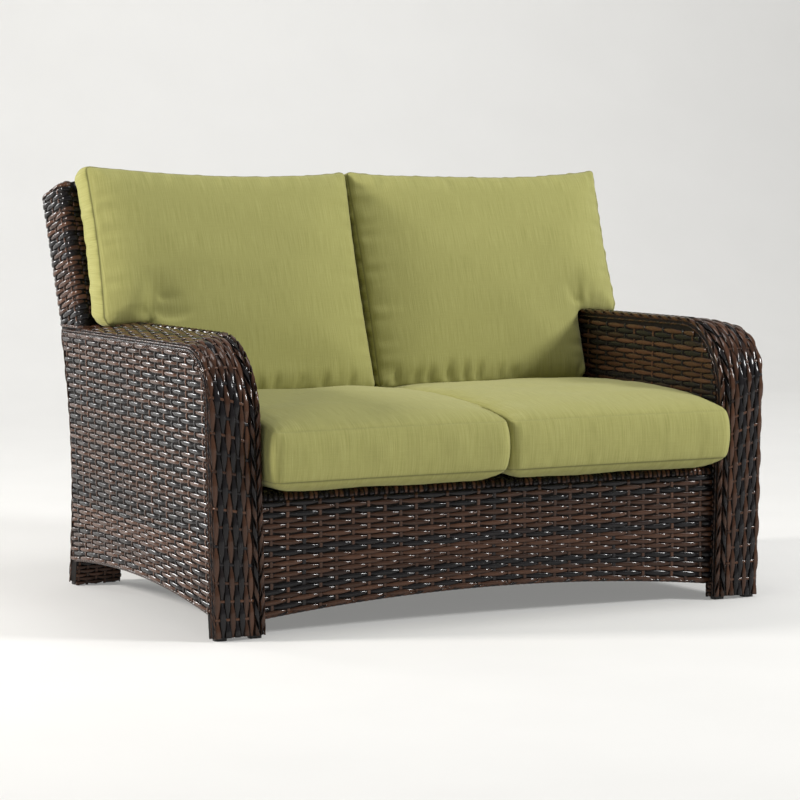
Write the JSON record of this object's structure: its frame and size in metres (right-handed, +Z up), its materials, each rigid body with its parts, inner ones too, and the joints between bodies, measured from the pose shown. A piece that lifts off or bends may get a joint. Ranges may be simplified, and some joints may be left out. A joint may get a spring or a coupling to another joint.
{
  "type": "patio loveseat",
  "caption": "Wicker patio loveseat with wide curved arms, a raked woven back, and loose green seat and back cushions.",
  "frame": {"origin": "Middle of the width and depth of the whole loveseat, on the floor.", "axes": "X runs across the width, to the right as seen from the front. Y runs from the front to the back. Z is up."},
  "size_m": [1.3864, 1.0273, 0.9743],
  "materials": {
    "resin_wicker": "glossy flat-oval strands, dark brown and charcoal, woven",
    "frame_metal": "welded tube, dark powder coat, hidden under the weave",
    "steel_fastener": "plain zinc, hidden",
    "glide_plastic": "matte moulded",
    "webbing": "woven elastic strap, hidden under the cushions",
    "cushion_fabric": "apple green outdoor cloth with a fine slub",
    "cushion_foam": "soft filling inside the cover"
  },
  "bodies": {
    "frame": {"apron_foot_rail": "frame_metal", "apron_weave": "resin_wicker", "back_bolts": "steel_fastener", "back_centre_stile": "frame_metal", "back_edge_wrap": "resin_wicker", "back_foot_rail": "frame_metal", "back_front_weave": "resin_wicker", "back_rear_weave": "resin_wicker", "back_top_rail": "frame_metal", "left_arm_band": "resin_wicker", "left_arm_braid": "resin_wicker", "left_arm_foot_rail": "frame_metal", "left_arm_inner_hoop": "frame_metal", "left_arm_inner_post": "frame_metal", "left_arm_inner_weave": "resin_wicker", "left_arm_outer_hoop": "frame_metal", "left_arm_outer_post": "frame_metal", "left_arm_outer_weave": "resin_wicker", "left_arm_rear_skin": "resin_wicker", "left_arm_seat_bearer": "frame_metal", "left_arm_spacers": "frame_metal", "left_back_post": "frame_metal", "left_back_stile": "frame_metal", "left_front_leg_cuff": "resin_wicker", "left_rear_leg_cuff": "resin_wicker", "left_seat_side_rail": "frame_metal", "leg_glides": "glide_plastic", "rear_weave": "resin_wicker", "right_arm_band": "resin_wicker", "right_arm_braid": "resin_wicker", "right_arm_foot_rail": "frame_metal", "right_arm_inner_hoop": "frame_metal", "right_arm_inner_post": "frame_metal", "right_arm_inner_weave": "resin_wicker", "right_arm_outer_hoop": "frame_metal", "right_arm_outer_post": "frame_metal", "right_arm_outer_weave": "resin_wicker", "right_arm_rear_skin": "resin_wicker", "right_arm_seat_bearer": "frame_metal", "right_arm_spacers": "frame_metal", "right_back_post": "frame_metal", "right_back_stile": "frame_metal", "right_front_leg_cuff": "resin_wicker", "right_rear_leg_cuff": "resin_wicker", "right_seat_side_rail": "frame_metal", "seat_bolts": "steel_fastener", "seat_centre_beam": "frame_metal", "seat_cross_straps": "webbing", "seat_edge_wrap": "resin_wicker", "seat_front_rail": "frame_metal", "seat_long_straps": "webbing", "seat_rear_rail": "frame_metal"},
    "left_seat_cushion": {"left_seat_cushion_core": "cushion_foam", "left_seat_cushion_cover": "cushion_fabric"},
    "left_back_cushion": {"left_back_cushion_core": "cushion_foam", "left_back_cushion_cover": "cushion_fabric"},
    "right_seat_cushion": {"right_seat_cushion_core": "cushion_foam", "right_seat_cushion_cover": "cushion_fabric"},
    "right_back_cushion": {"right_back_cushion_core": "cushion_foam", "right_back_cushion_cover": "cushion_fabric"}
  },
  "joints": [
    {"name": "left_seat_cushion_slide", "type": "slide", "parent": "frame", "child": "left_seat_cushion", "axis": [0, -1, 0], "range_m": [0, 0.75]},
    {"name": "right_seat_cushion_slide", "type": "slide", "parent": "frame", "child": "right_seat_cushion", "axis": [0, -1, 0], "range_m": [0, 0.75]},
    {"name": "left_back_cushion_lift", "type": "slide", "parent": "frame", "child": "left_back_cushion", "axis": [0, 0, 1], "range_m": [0, 0.52]},
    {"name": "right_back_cushion_lift", "type": "slide", "parent": "frame", "child": "right_back_cushion", "axis": [0, 0, 1], "range_m": [0, 0.52]}
  ]
}
